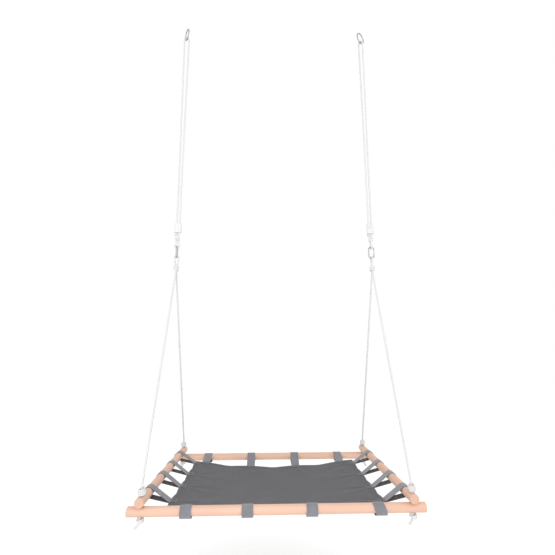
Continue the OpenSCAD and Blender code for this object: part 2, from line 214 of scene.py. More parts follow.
def skin(name, rings, across, along, closed=False):
    """A mesh through closed rings of points: squares between neighbouring rings, and a fan of
    triangles to the middle of the first and last ring, unless the rings close on themselves.
    The map called surface holds (across, along) for each ring's points and rings."""
    rows, cols = rings.shape[:2]
    here = np.arange(rows * cols).reshape(rows, cols)
    right = np.roll(here, -1, 1)
    over, over_right = np.roll(here, -1, 0), np.roll(right, -1, 0)
    last = rows if closed else rows - 1
    quads = np.stack([here, right, over_right, over], -1)[:last].reshape(-1, 4)
    i, j = (k.ravel() for k in np.meshgrid(np.arange(last), np.arange(cols), indexing="ij"))
    u = np.stack([across[j], across[j + 1], across[j + 1], across[j]], -1).ravel()
    v = np.stack([along[i], along[i], along[i + 1], along[i + 1]], -1).ravel()
    points, faces = rings.reshape(-1, 3), quads.tolist()
    if not closed:
        first, final = rows * cols, rows * cols + 1
        points = np.vstack([points, rings[0].mean(0), rings[-1].mean(0)])
        faces += [[first, y, x] for x, y in zip(here[0], right[0])]
        faces += [[final, x, y] for x, y in zip(here[-1], right[-1])]
        j = np.arange(cols)
        edge = (across[j] + across[j + 1]) / 2
        u = np.concatenate([u, np.stack([edge, across[j + 1], across[j]], -1).ravel(),
                            np.stack([edge, across[j], across[j + 1]], -1).ravel()])
        v = np.concatenate([v, np.full(3 * cols, along[0]), np.full(3 * cols, along[-1])])
    mesh = bpy.data.meshes.new(name)
    mesh.from_pydata(points.tolist(), [], faces)
    mesh.polygons.foreach_set("use_smooth", np.ones(len(mesh.polygons), bool))
    layer = mesh.uv_layers.new(name="surface")
    layer.data.foreach_set("uv", np.stack([u, v], -1).astype(np.float32).ravel())
    return mesh


def sweep(name, path, side, outline, across, dome=0.0, swell=None):
    """An outline carried along a route: each point is the route's point, plus the outline's
    first number along the side direction, plus its second along the direction square to that
    and to the route. dome rounds the ends by a quarter circle; swell scales the outline."""
    path = np.asarray(path, float)
    ahead = unit(np.gradient(path, axis=0))
    side = np.broadcast_to(np.asarray(side, float), path.shape)
    side = unit(side - np.sum(side * ahead, 1, keepdims=True) * ahead)
    up = np.cross(ahead, side)
    scale = np.ones(len(path)) if swell is None else swell
    if dome:
        turn = np.radians([82.0, 62.0, 40.0, 18.0])
        out = dome * np.sin(turn)[:, None]
        path = np.vstack([path[0] - out * ahead[0], path, path[-1] + out[::-1] * ahead[-1]])
        scale = np.concatenate([scale[0] * np.cos(turn), scale, scale[-1] * np.cos(turn)[::-1]])
        side, up = (np.vstack([[d[0]] * 4, d, [d[-1]] * 4]) for d in (side, up))
    rings = path[:, None] + scale[:, None, None] * (
        outline[None, :, :1] * side[:, None] + outline[None, :, 1:] * up[:, None])
    return skin(name, rings, across, length_along(path))


def place(mesh, material, body, slot, *nodes):
    """Puts a finished mesh into the scene, on its body, in place of the CAD nodes it shows."""
    piece = bpy.data.objects.new(mesh.name, mesh)
    bpy.context.scene.collection.objects.link(piece)
    mesh.materials.append(material)
    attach(piece, body)
    if nodes:
        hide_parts(*nodes)
    return piece


rope_d = 0.008
rope_r = rope_d / 2
braid = braid_finish()


def rope(name, path, side, around=16, radius=rope_r, swell=None, dome=0.5 * rope_r):
    """A round rope along a route."""
    turn = np.arange(around) * 2 * np.pi / around
    outline = radius * np.stack([np.cos(turn), np.sin(turn)], -1)
    return sweep(name, path, side, outline, np.linspace(0, 1, around + 1), dome, swell)


def level(height):
    """Frame height of a point given in millimetres above the front rail's axis."""
    return rail_level + height / 1000.0


sides = ("left", "right")
line_x = {name: middle("join_knot_" + name).x for name in sides}
half_turn = np.radians(np.arange(0, 181, 15))[:, None]
upright = np.array([0, 0, 1])
bight_r = 0.012   # half the width of the bend over a ring
strand_x = 0.007  # from the middle to each of the two strands
cross_wander, fine_wander = 0.00028, 0.00016  # together under the 0.6 mm round it in an adjuster
upper_ropes, upper_routes = {}, {}
for name, across_xy in (("left", (0.866, 0.5)), ("right", (0.656, -0.755))):
    x0 = line_x[name]
    across = np.array([*across_xy, 0.0])
    bight = np.array([x0, 0.0, level(2117.9)])
    arch = bight + bight_r * (-np.cos(half_turn) * across + np.sin(half_turn) * upright)
    up_foot, down_foot = (np.array([x0 + s * strand_x, 0.0, level(1375.9)]) for s in (-1, 1))
    knotted_end = [[x0 - 0.008, 0, level(1061)], [x0 - strand_x, 0, level(1069)],
                   [x0 - strand_x, 0, level(1120)]]
    eye_end = [[x0 + strand_x, 0, level(1120)], [x0 + strand_x, 0, level(1069)],
               [x0 + 0.006, 0, level(1064)], [x0 + 0.005, 0, level(1057)],
               [x0 + 0.005, 0, level(1046)]]
    route = np.vstack([knotted_end, [up_foot, (up_foot + arch[0]) / 2], arch,
                       [(down_foot + arch[-1]) / 2, down_foot], eye_end])
    route = evenly(soften(route), 0.004)
    sway = (np.sin(route[:, 2] * 31.0 + x0 * 40) * cross_wander
            + np.sin(route[:, 2] * 57.0) * fine_wander)
    free = np.clip(np.minimum(route[:, 2] - level(1140), level(2100) - route[:, 2]) / 0.08, 0, 1)
    route[:, 1] += sway * free
    upper_ropes[name] = place(
        rope("braided_upper_rope_" + name, route, [across[1], -across[0], 0.0]),
        braid, "upper_ropes", "rope", "upper_rope_" + name)
    upper_routes[name] = route.tolist()


# ---- Eyes and V ropes ----
# Four short eyes hang in the snap hooks. Under each lower eye the rope comes out of its join
# knot as two legs, pulled straight to the front and rear corners of the frame.
eye_r = 0.010  # half the width of an eye


def eye_route(name, turn, bend_height, knot_height, way):
    """Out of the knot, apart to the eye's half width each way, round half a turn and back."""
    apart = np.array([math.cos(math.radians(turn)), math.sin(math.radians(turn)), 0.0])
    up = np.array([0.0, 0.0, float(way)])
    foot = np.array([line_x[name], 0.0, level(knot_height)])
    bend = np.array([line_x[name], 0.0, level(bend_height - way * 10)])
    legs = [foot - 0.005 * apart - 0.003 * up, foot - 0.005 * apart + 0.002 * up,
            foot - 0.006 * apart + 0.007 * up]
    back = [p + 2 * (foot - p) @ apart * apart for p in legs[::-1]]
    arch = bend + eye_r * (-np.cos(half_turn) * apart + np.sin(half_turn) * up)
    return evenly(soften(np.vstack([legs, arch, back])), 0.002), [-apart[1], apart[0], 0.0]


for name, turn in (("left", 0), ("right", 90)):
    for end, bend_height, knot_height, way, long, body in (
            ("upper", 996.6, 1029.6, -1, 0.084, "upper_ropes"),
            ("lower", 958, 916, 1, 0.102, "v_ropes_" + name)):
        route, side = eye_route(name, turn, bend_height, knot_height, way)
        place(rope(f"braided_{end}_eye_{name}", route, side), braid, body,
                                "rope", f"{end}_eye_{name}")


corner_y = middle("rail_rear").y
leg_reach, leg_foot = 0.340, 76.5  # where a leg enters its corner knot
for name, x0 in line_x.items():
    for way, row in ((-1, "front"), (1, "rear")):
        corners = [[x0, way * 0.005, level(888)], [x0, way * 0.005, level(884)],
                   [x0, way * 0.007, level(876)], [x0, way * leg_reach, level(leg_foot)]]
        route = evenly(soften(corners), 0.006)
        leg = place(rope(f"braided_leg_{row}_{name}", route, [1.0, 0.0, 0.0]), braid,
                    "v_ropes_" + name, "rope", f"v_rope_{row}_{name}")


# ---- Knots ----
# Overhand knots pulled tight: the rope winds up round itself and one strand rides over the
# turns. They close each eye, join the V ropes, and sit above and below the rails' corners.
def coil_route(centre, low, high, radius, turns, start, lean=0.0):
    """Turns round an upright line: the angle and the height grow together, the height also
    swings by lean once a turn, and the first and last quarter turn draw in to the middle."""
    t = np.linspace(0, 1, int(26 * turns) + 1)
    angle = np.radians(start) + 2 * np.pi * turns * t
    draw = np.clip(np.minimum(t, 1 - t) * turns * 4, 0, 1)
    out = radius * (0.42 + 0.58 * draw * (2 - draw))
    height = low + rope_r + (high - low - rope_d) * t + lean * np.sin(angle) * draw
    return np.stack([centre[0] + out * np.cos(angle), centre[1] + out * np.sin(angle), height], 1)


def rider_route(centre, low, high, radius, start, reach, out):
    """One strand across the turns: it climbs from low to high while it goes round by reach
    degrees, and stands out from the turns by a half wave."""
    t = np.linspace(0, 1, 22)
    angle = np.radians(start + reach * t)
    away = radius * 0.8 + (out + 0.2 * radius) * np.sin(np.pi * t) ** 0.7
    height = low + rope_r * 0.8 + (high - low - 1.6 * rope_r) * t
    return np.stack([centre[0] + away * np.cos(angle), centre[1] + away * np.sin(angle), height], 1)


def knot(name, nodes, centre, low, high, width, start, body, rider=True, lean=0.0015):
    """The coil and its riding strand as one mesh. The turns lie a little inside the knot's
    width, and the rope is a fiftieth thicker than elsewhere, so that neighbouring turns meet."""
    radius = width / 2 - rope_r - 0.0006
    turns = max(1.6, (high - low) / rope_d - 0.45)
    parts = [coil_route(centre, low, high, radius, turns, start, lean)]
    if rider:
        parts.append(rider_route(centre, low, high, radius, start + 150, 115, 0.0022))
    made = []
    for k, route in enumerate(parts):
        route = evenly(route, 0.0018)
        out = route - np.array([centre[0], centre[1], 0.0])
        out[:, 2] = 0.0
        made.append(rope(f"{name}_{k}", route, out, 14, rope_r * 1.02))
    return place(joined(name, made), braid, body, "rope", *nodes)


def joined(name, meshes):
    """Several meshes as one, each with its own points, faces and surface map."""
    points, faces, maps, first = [], [], [], 0
    for mesh in meshes:
        co = np.zeros(len(mesh.vertices) * 3)
        mesh.vertices.foreach_get("co", co)
        uv = np.zeros(len(mesh.loops) * 2)
        mesh.uv_layers["surface"].data.foreach_get("uv", uv)
        points.append(co.reshape(-1, 3))
        faces += [[first + v for v in face.vertices] for face in mesh.polygons]
        maps.append(uv)
        first += len(mesh.vertices)
        bpy.data.meshes.remove(mesh)
    whole = bpy.data.meshes.new(name)
    whole.from_pydata(np.vstack(points).tolist(), [], faces)
    whole.polygons.foreach_set("use_smooth", np.ones(len(whole.polygons), bool))
    whole.uv_layers.new(name="surface").data.foreach_set("uv", np.concatenate(maps))
    return whole


for name, x0 in line_x.items():
    flip = 0 if name == "left" else 140
    stopper = knot("knot_stopper_" + name, ["stopper_knot_" + name], (x0 - 0.008, 0.0),
                   level(1053.6), level(1069.6), 0.0165, 200 + flip, "upper_ropes", False, 0.0008)
    knot("knot_eye_" + name, ["eye_knot_" + name], (x0, 0.0), level(1029.6), level(1051.6),
         0.0235, 250 - flip, "upper_ropes")
    knot("knot_join_" + name, ["join_knot_" + name], (x0, 0.0), level(886), level(916),
         0.0255, 230 + flip, "v_ropes_" + name)

# The rope at each corner: out of the upper knot, down through both rails and the lower knot,
# then a short free tail whose tip is melted into a small bead.
tail_lean = {"front_left": (-1.0, -0.2), "rear_left": (-0.8, 0.5),
             "front_right": (-1.0, -0.3), "rear_right": (0.9, 0.3)}
for corner, (lean_x, lean_y) in tail_lean.items():
    row, name = corner.split("_")
    x0, y0 = line_x[name], corner_y * (-1 if row == "front" else 1)
    lean = np.array([lean_x, lean_y, 0.0])
    steps = [(0, 72), (0, 48), (0, 0), (0, -16), (1, -28), (3, -35), (6, -40), (10, -46), (15, -50)]
    route = evenly(soften([[x0 + lean_x * s / 1000, y0 + lean_y * s / 1000, level(h)]
                           for s, h in steps]), 0.002)
    gone = length_along(route)
    bead = 1 + 0.22 * np.exp(-((gone[-1] - gone - 0.002) / 0.003) ** 2)
    tail = place(rope("braided_tail_" + corner, route, [-lean_y, lean_x, 0.0], swell=bead,
                      dome=0.0035), braid, "platform", "rope", "rope_tail_" + corner)
    start = 35 * lean_x + (200 if row == "front" else 20)
    knots = [knot("knot_corner_" + corner, ["corner_knot_" + corner], (x0, y0), level(48),
                  level(75), 0.027, start, "platform"),
             knot("knot_under_" + corner, [], (x0, y0), level(-35), level(-16), 0.027,
                  start + 70, "platform")]


# ---- Rings ----
# Round steel rings, bent from 6 mm wire, butt-welded and zinc plated. The weld stands a little
# proud, and the rope hangs over the bottom of each ring.
def plated_finish(name, tone, rough):
    """Zinc plate: a grey metal with slow cloudy changes of tone and gloss and fine scratches."""
    material, shade = finish(name, metallic=1.0)
    where = shade.on_object()
    cloud = where.noise(220.0, 3.0)
    scratch = where.stretched(300.0, 300.0, 2600.0).noise(1.0, 2.0)
    colour = cloud.between(0.35, 0.7).mixed(tone, tuple(0.72 * c for c in tone))
    return dress(material, colour, cloud * 0.22 + (rough - 0.1), scratch, 0.00006, 0.5)


ring_steel = plated_finish("steel_ring", (0.44, 0.445, 0.46), 0.34)
wire_r, ring_cuts, wire_cuts = 0.003, 72, 20
for name, turn in (("left", -60), ("right", 41)):
    low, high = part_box("ring_" + name)
    hub = (low + high) / 2
    ring_r = (high.z - low.z) / 2 - wire_r
    out = np.array([math.cos(math.radians(turn)), math.sin(math.radians(turn)), 0.0])
    angle = np.linspace(0, 2 * np.pi, ring_cuts + 1)[:-1]
    away = np.cos(angle)[:, None] * out + np.sin(angle)[:, None] * upright
    wire = np.linspace(0, 2 * np.pi, wire_cuts + 1)[:-1]
    flat = np.array([-out[1], out[0], 0.0])
    # the weld stands 0.25 mm proud over a few millimetres, a third of the way up the side
    weld = 1 + 0.08 * np.exp(-((angle - 0.55) / 0.05) ** 2)
    rings = np.array(hub) + ring_r * away[:, None] + wire_r * weld[:, None, None] * (
        np.cos(wire)[None, :, None] * away[:, None] - np.sin(wire)[None, :, None] * flat)
    mesh = skin("welded_ring_" + name, rings, np.linspace(0, 1, wire_cuts + 1),
                np.linspace(0, 2 * np.pi * ring_r, ring_cuts + 1), closed=True)
    place(mesh, ring_steel, "rings", "ring_steel", "ring_" + name)


# ---- Adjusters ----
# Moulded from white nylon, with two holes for the rope and every edge rounded. Friction on the
# two strands holds an adjuster where it is slid to.
def merged_copy(name, node):
    """A copy of the CAD node with its loose triangles merged and its flat faces made whole, so
    that its edges can be rounded."""
    shape = bmesh.new()
    shape.from_mesh(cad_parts[node].data)
    bmesh.ops.remove_doubles(shape, verts=shape.verts, dist=1e-6)
    bmesh.ops.dissolve_limit(shape, angle_limit=math.radians(0.5), verts=shape.verts,
                             edges=shape.edges)
    mesh = bpy.data.meshes.new(name)
    shape.to_mesh(mesh)
    shape.free()
    mesh.materials.clear()
    mesh.polygons.foreach_set("use_smooth", np.ones(len(mesh.polygons), bool))
    return mesh


def moulded_finish():
    """White nylon with a fine spark-eroded grain, a little yellowed, greyed by handling."""
    material, shade = finish("nylon_white", coat_weight=0.12, coat_roughness=0.3,
                             subsurface_weight=0.06, subsurface_scale=0.002)
    where = shade.on_object()
    grain = where.noise(1900.0, 2.0)
    soil = where.noise(70.0, 3.0)
    colour = soil.between(0.45, 0.75).mixed((0.61, 0.61, 0.60), (0.52, 0.512, 0.49))
    return dress(material, colour, 0.42 + soil * 0.15, grain, 0.00008, 0.6)


nylon = moulded_finish()
edge_round = 0.0012
for name in sides:
    node = "adjuster_" + name
    bar = place(merged_copy("moulded_" + node, node), nylon, node, "adjuster_plastic", node)
    rounding = bar.modifiers.new("rounding", "BEVEL")
    rounding.width, rounding.segments, rounding.limit_method = edge_round, 3, "ANGLE"
    rounding.angle_limit = math.radians(40)
    weighted = bar.modifiers.new("even_shading", "WEIGHTED_NORMAL")
    weighted.keep_sharp = False


# ---- Snap hooks ----
# Pressed and bent from 6 mm steel wire and zinc plated. The gate turns on a rivet through the
# hook's lugs; a coil spring inside it holds it shut against the hook's nose.
hook_steel = plated_finish("steel_hook", (0.46, 0.465, 0.48), 0.38)
gate_steel = plated_finish("steel_gate", (0.52, 0.525, 0.54), 0.30)
rivet_steel = plated_finish("steel_rivet", (0.40, 0.40, 0.41), 0.42)


def clad(node, material):
    """A CAD node that keeps its own shape gets a new material."""
    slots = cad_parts[node].data.materials
    slots.clear()
    slots.append(material)


for name in sides:
    for node, steel in (("hook_body_", hook_steel), ("gate_", gate_steel),
                        ("gate_spring_", rivet_steel), ("hook_rivet_", rivet_steel)):
        clad(node + name, steel)


# ---- Rails ----
# Four turned beech dowels, sanded, oiled and drilled for the rope. The front and rear rails lie
# under the side rails. Beech shows fine rings, straight fibres and short dark flecks.
ring_gap = 0.0031  # from one growth ring to the next


def beech_finish(name, node, offset, warmth):
    """Growth rings are shells round the tree's pith, a line beside the dowel: their darkness is
    a wave of the distance from that line, which wanders slowly along the wood. Fibres and
    flecks are noise drawn out along the dowel."""
    low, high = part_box(node)
    along = 0 if high.x - low.x > high.y - low.y else 1
    core = (low + high) / 2
    material, shade = finish(name, coat_weight=0.08, coat_roughness=0.35)
    where = shade.on_object()
    drawn = (lambda far, across: where.stretched(far, across, across) if along == 0
             else where.stretched(across, far, across))
    parts = where.axes()
    wander = (drawn(2.2, 9.0).noise(1.0, 2.0) - 0.5) * 0.009
    side = parts[1 - along] - (core[1 - along] + offset[0]) + wander
    rise = parts[2] - (core.z + offset[1]) + wander * 0.6
    distance = (side * side + rise * rise).power(0.5)
    ring = (distance * (2 * math.pi / ring_gap)).sin() * 0.5 + 0.5
    fibre = drawn(14.0, 1300.0).noise(1.0, 3.0)
    fleck = drawn(260.0, 1500.0).noise(1.0, 1.0).between(0.66, 0.76)
    cloud = drawn(7.0, 26.0).noise(1.0, 3.0)
    light, deep = ((0.69 * warmth, 0.442, 0.332), (0.58 * warmth, 0.345, 0.24))
    colour = (ring.power(2.0) * 0.45 + fibre * 0.3).mixed(light, deep)
    colour = cloud.between(0.35, 0.75).mixed(colour, tuple(0.88 * c for c in light))
    colour = (fleck * 0.55).mixed(colour, (0.40, 0.225, 0.14))
    # the sawn ends drink more oil and the hands darken them
    end = (parts[along].size() - ((high[along] - low[along]) / 2 - 0.0025)).between(0.0, 0.0015)
    colour = (end * 0.5).mixed(colour, (0.50, 0.31, 0.20))
    height = fibre + (1.0 - fleck) * 0.6
    return dress(material, colour, 0.44 + fibre * 0.2, height, 0.00012, 0.5)


for node, offset, warmth in (
        ("rail_front", (0.021, -0.034), 1.0), ("rail_rear", (-0.03, -0.02), 0.98),
        ("rail_left", (0.027, 0.026), 0.99), ("rail_right", (-0.02, 0.036), 1.0)):
    clad(node, beech_finish("beech_" + node, node, offset, warmth))


# ---- Seat ----
# Heavy grey cotton canvas in plain weave, turned over and sewn down twice as a hem all round.
# Webbing stretches it inside the frame, so it sags a little and wrinkles run in from the loops.
canvas_low, canvas_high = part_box("seat_canvas")
half_w = (canvas_high.x - canvas_low.x) / 2
half_d = (canvas_high.y - canvas_low.y) / 2
mid_y = (canvas_high.y + canvas_low.y) / 2
hem = 0.028
layer_half = 0.0006   # half a layer of canvas
hem_half = 0.0012     # half the two layers of the hem
sewn_lift = 0.0011    # how much higher each face lies over a loop's ends
draw_in = 0.0045      # how far the edge draws in halfway between two loops
weave_pitch = 0.0011
loops = []
for node in sorted(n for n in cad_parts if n.startswith("strap_")):
    edge = node.split("_")[1]
    spot = middle(node)
    if edge in ("front", "rear"):
        way = 1.0 if edge == "front" else -1.0
        loops.append((node, edge, (spot.x, canvas_low.y if edge == "front" else canvas_high.y),
                      (0.0, way)))
    else:
        way = 1.0 if edge == "left" else -1.0
        loops.append((node, edge, (canvas_low.x if edge == "left" else canvas_high.x, spot.y),
                      (way, 0.0)))


def bow(t):
    """1 in the middle and 0 at both edges, by a parabola."""
    return 1 - t * t


def slack(x, y, edges):
    """How far a point near these edges is out of the loops' reach: 0 beside a loop, 1 halfway
    between two, and fading to 0 at 40 mm from the canvas edge."""
    total = np.zeros(np.broadcast(x, y).shape)
    for edge in edges:
        run, deep = ((x, np.abs(y - (canvas_low.y if edge == "front" else canvas_high.y)))
                     if edge in ("front", "rear") else
                     (y, np.abs(x - (canvas_low.x if edge == "left" else canvas_high.x))))
        spots = [spot[0] if edge in ("front", "rear") else spot[1]
                 for _, where, spot, _ in loops if where == edge]
        near = np.min([np.abs(run - spot) for spot in spots], axis=0)
        total = total + np.clip((near - 0.02) / 0.075, 0, 1) ** 1.5 * np.exp(-(deep / 0.03) ** 1.3)
    return total


def canvas_level(x, y):
    """The canvas between its faces: a shallow bowl, deeper at the rear edge than at the front,
    low edges between the loops, a fan of wrinkles in front of each loop that dies out over a
    hand's width, and faint broad waves."""
    a, b = bow(x / half_w), bow((y - mid_y) / half_d)
    edge = 0.014 + 0.014 * (y - canvas_low.y) / (2 * half_d)
    z = canvas_high.z - hem_half - edge * a - 0.004 * b - (0.036 - edge) * a * b
    z = z - 0.0035 * slack(x, y, ("front", "rear", "left", "right"))
    for k, (_, _, spot, inward) in enumerate(loops):
        deep = (x - spot[0]) * inward[0] + (y - spot[1]) * inward[1] - 0.036
        aside = (x - spot[0]) * inward[1] - (y - spot[1]) * inward[0]
        fan = np.arctan2(aside, np.maximum(deep, 0) + 0.035)
        fade = np.clip(deep / 0.012, 0, 1) * np.exp(-(np.maximum(deep, 0) / 0.105) ** 1.5)
        z = z + 0.0013 * fade * np.exp(-(fan / 0.75) ** 2) * np.cos(8.5 * fan + 2.1 * k)
    inner = np.clip(a, 0, 1) * np.clip(b, 0, 1)
    return z + inner * (0.0007 * np.sin(31 * x + 12 * y + 0.4) + 0.0006 * np.sin(19 * y - 26 * x)
                        + 0.0005 * np.sin(47 * x * y * 3 + 8 * y))


def drawn_in(x, y):
    """The plan's places, moved inwards by draw_in where the canvas hangs between loops."""
    return (x - np.sign(x) * draw_in * slack(x, y, ("left", "right")),
            y - np.sign(y - mid_y) * draw_in * slack(x, y, ("front", "rear")))


def sewn_in(x, y):
    """1 where the two ends of a loop lie inside the hem, falling to 0 over 2 mm round them."""
    total = np.zeros(np.broadcast(x, y).shape)
    for _, _, spot, inward in loops:
        deep = (x - spot[0]) * inward[0] + (y - spot[1]) * inward[1]
        aside = np.abs((x - spot[0]) * inward[1] - (y - spot[1]) * inward[0])
        total = total + np.clip((0.0205 - aside) / 0.002, 0, 1) * np.clip(
            (0.0275 - deep) / 0.002, 0, 1)
    return np.clip(total, 0, 1)


def spaced(half, step):
    """Places from one edge to the other: close together at the rim and at the hem's step."""
    rim = np.array([0, 0.35, 0.8, 1.4, 3, 7, 12, 17, 22, 26, 27.2, 28, 28.8, 30.5, 34]) / 1000
    inner = np.linspace(-half + rim[-1], half - rim[-1], int(2 * half / step))
    return np.concatenate([-half + rim[:-1], inner, (half - rim[:-1])[::-1]])


def canvas_mesh():
    """Two faces of one grid of places. They stand half a thickness off the middle surface: the
    hem is two layers thick, a loop's ends make it thicker still, and at the rim the thickness
    falls to nothing by a quarter circle."""
    x, y = np.meshgrid(spaced(half_w, 0.0036), spaced(half_d, 0.0036), indexing="ij")
    inset = np.minimum(half_w - np.abs(x), half_d - np.abs(y))
    thick = layer_half + layer_half * np.clip((hem + 0.0008 - inset) / 0.0016, 0, 1)
    y = y + mid_y
    thick = thick + sewn_lift * sewn_in(x, y)
    thick = thick * np.sqrt(np.clip(1 - (1 - np.clip(inset / hem_half, 0, 1)) ** 2, 0, 1))
    px, py = drawn_in(x, y)
    z = canvas_level(x, y)
    rows, cols = x.shape
    here = np.arange(rows * cols).reshape(rows, cols)
    rim = np.zeros((rows, cols), bool)
    rim[[0, -1]], rim[:, [0, -1]] = True, True
    under = np.where(rim, here, 0)
    under[~rim] = rows * cols + np.arange(int((~rim).sum()))
    top = np.stack([px, py, z + thick], -1).reshape(-1, 3)
    low = np.stack([px, py, z - thick], -1)[~rim]
    face = [np.stack([g[:-1, :-1], g[1:, :-1], g[1:, 1:], g[:-1, 1:]], -1).reshape(-1, 4)
            for g in (here, under)]
    mesh = bpy.data.meshes.new("sewn_canvas")
    mesh.from_pydata(np.vstack([top, low]).tolist(), [],
                     np.vstack([face[0], face[1][:, ::-1]]).tolist())
    mesh.polygons.foreach_set("use_smooth", np.ones(len(mesh.polygons), bool))
    sewn = sewn_in(x, y)
    mark = mesh.attributes.new("sewn", "FLOAT", "POINT")
    mark.data.foreach_set("value", np.concatenate([sewn.ravel(), sewn[~rim]]).astype(np.float32))
    return mesh


def canvas_finish():
    """Plain weave: warp and weft are half waves, and over each crossing one of them is on top,
    as on a chessboard. Single yarns vary in shade, soft clouds of the cloth and its rim are
    worn paler, and the hem and the patches where loops are sewn in are darker."""
    material, shade = finish("canvas_grey", sheen_weight=0.15, sheen_roughness=0.45,
                             sheen_tint=(0.8, 0.82, 0.88, 1.0))
    where = shade.on_object()
    x, y, _ = where.axes()
    a, b = x * (1 / weave_pitch), y * (1 / weave_pitch)
    top = ((a.floor() + b.floor()) * 0.5).part() * 2.0
    warp = (a.part() * math.pi).sin() * (0.35 + top * 0.65)
    weft = (b.part() * math.pi).sin() * (1.0 - top * 0.65)
    weave = warp.most(weft)
    yarn_x = where.stretched(1700.0, 14.0, 0.0).noise(1.0, 1.0)
    yarn_y = where.stretched(14.0, 1700.0, 0.0).noise(1.0, 1.0)
    slub = yarn_x * top + yarn_y * (1.0 - top)
    cloud = where.noise(9.0, 4.0, 0.6)
    colour = slub.between(0.3, 0.7).mixed((0.062, 0.062, 0.065), (0.102, 0.101, 0.105))
    colour = (cloud.between(0.4, 0.8) * 0.35).mixed(colour, (0.115, 0.114, 0.117))
    # painted shade: the hollows between warp and weft are darkened
    colour = (1.0 - weave).power(2.0).mixed(colour, (0.045, 0.045, 0.048))
    inset = (half_w - x.size()).least(half_d - (y - mid_y).size())
    fold = 1.0 - inset.between(hem - 0.001, hem + 0.0015)
    colour = (fold * 0.5).mixed(colour, (0.058, 0.058, 0.062))
    sewn = shade.node("ShaderNodeAttribute", {"attribute_name": "sewn"}, None, "Fac")
    colour = (sewn * 0.55).mixed(colour, (0.038, 0.038, 0.041))
    edge = 1.0 - inset.between(0.0002, 0.0022)
    colour = (edge * 0.35).mixed(colour, (0.17, 0.17, 0.175))
    return dress(material, colour, 0.82 + slub * 0.12, weave, 0.00035, 0.75)


def stitches(name, starts, ends, ups, thread):
    """Many stitches as one mesh. Each is a five-sided tube through four rings: it comes out of
    the cloth, lies on it for half its length and goes back in."""
    ahead = ends - starts
    centre = starts[:, None] + np.array([0, 0.22, 0.78, 1])[:, None] * ahead[:, None] + (
        np.array([-1.0, 0.75, 0.75, -1.0])[:, None] * thread / 2 * ups[:, None])
    turn = np.arange(5) * 2 * np.pi / 5
    ahead = unit(ahead)
    wide = np.cross(ahead, ups)
    tube = (np.cos(turn)[:, None] * ups[:, None] + np.sin(turn)[:, None] * wide[:, None])
    points = centre[:, :, None] + thread / 2 * tube[:, None]
    here = np.arange(20).reshape(4, 5)
    right = np.roll(here, -1, 1)
    quads = np.stack([here[:-1], right[:-1], right[1:], here[1:]], -1).reshape(-1, 4)
    first = (np.arange(len(starts)) * 20)[:, None, None]
    faces = (quads[None] + first).reshape(-1, 4).tolist()
    faces += (np.stack([here[0][::-1], here[-1]])[None] + first).reshape(-1, 5).tolist()
    mesh = bpy.data.meshes.new(name)
    mesh.from_pydata(points.reshape(-1, 3).tolist(), [], faces)
    mesh.polygons.foreach_set("use_smooth", np.ones(len(mesh.polygons), bool))
    return mesh


ply_pitch = 0.0006


def thread_finish(name, tone):
    """Twisted polyester thread: its plies are slanting waves, and the grooves between them are
    darker, as painted shade.
    """
    material, shade = finish(name, sheen_weight=0.3)
    where = shade.on_object()
    x, y, z = where.axes()
    ply = ((x + y + z) * (2 * math.pi / ply_pitch)).sin() * 0.5 + 0.5
    # painted shade: the grooves between the plies are darkened to seven tenths of the thread's tone
    colour = ply.mixed(tuple(0.7 * c for c in tone), tone)
    return dress(material, colour, ply * 0.2 + 0.45, ply, 0.0001, 0.5)


def seam(corners, pitch=0.0036, share=0.72):
    """Start and end of each stitch along straight runs between the corners."""
    starts, ends = [], []
    for a, b in zip(corners[:-1], corners[1:]):
        a, b = np.asarray(a, float), np.asarray(b, float)
        count = max(1, int(round(np.linalg.norm(b - a) / pitch)))
        t = np.arange(count)[:, None] / count
        starts.append(a + t * (b - a))
        ends.append(a + (t + share / count) * (b - a))
    return np.vstack(starts), np.vstack(ends)


seat_thread = thread_finish("thread_dark", (0.17, 0.17, 0.18))
canvas = place(canvas_mesh(), canvas_finish(), "platform", "canvas", "seat_canvas")
hem_rows = []
for face in (1, -1):
    for inset in (0.0045, 0.0242):  # one row by the rim, one by the hem's turned-in edge
        w, d = half_w - inset, half_d - inset
        flat_a, flat_b = seam([(-w, -d), (w, -d), (w, d), (-w, d), (-w, -d)], 0.0042)
        pair = []
        for flat in (flat_a, flat_b):
            x, y = flat[:, 0], flat[:, 1] + mid_y
            z = canvas_level(x, y) + face * (hem_half + sewn_lift * sewn_in(x, y))
            pair.append(np.stack([*drawn_in(x, y), z], 1))
        ups = np.broadcast_to([0.0, 0.0, float(face)], pair[0].shape)
        hem_rows.append(stitches("row", pair[0], pair[1], ups, 0.0007))


def bare_joined(name, meshes):
    """Several meshes without maps as one."""
    shape = bmesh.new()
    for mesh in meshes:
        shape.from_mesh(mesh)
        bpy.data.meshes.remove(mesh)
    whole = bpy.data.meshes.new(name)
    shape.to_mesh(whole)
    shape.free()
    return whole


hem_sewing = place(bare_joined("hem_stitching", hem_rows), seat_thread, "platform", "canvas")


# ---- Webbing loops ----
# Sixteen loops of 38 mm grey cotton webbing; the face towards the rail is painted almost black,
# as painted shade inside the loop. Both ends of each lie in the hem, sewn through with a box of
# stitches and a cross; the loop runs round a rail.
strap_w, strap_t = 0.038, 0.0018
rib_pitch, float_length = 0.0017, 0.0026
rail_gap = 0.0003      # from the rail to the webbing
crossing_ease = 0.0025  # how slack the front and rear loops hang
end_inset = 0.006      # how far each end runs on into the hem


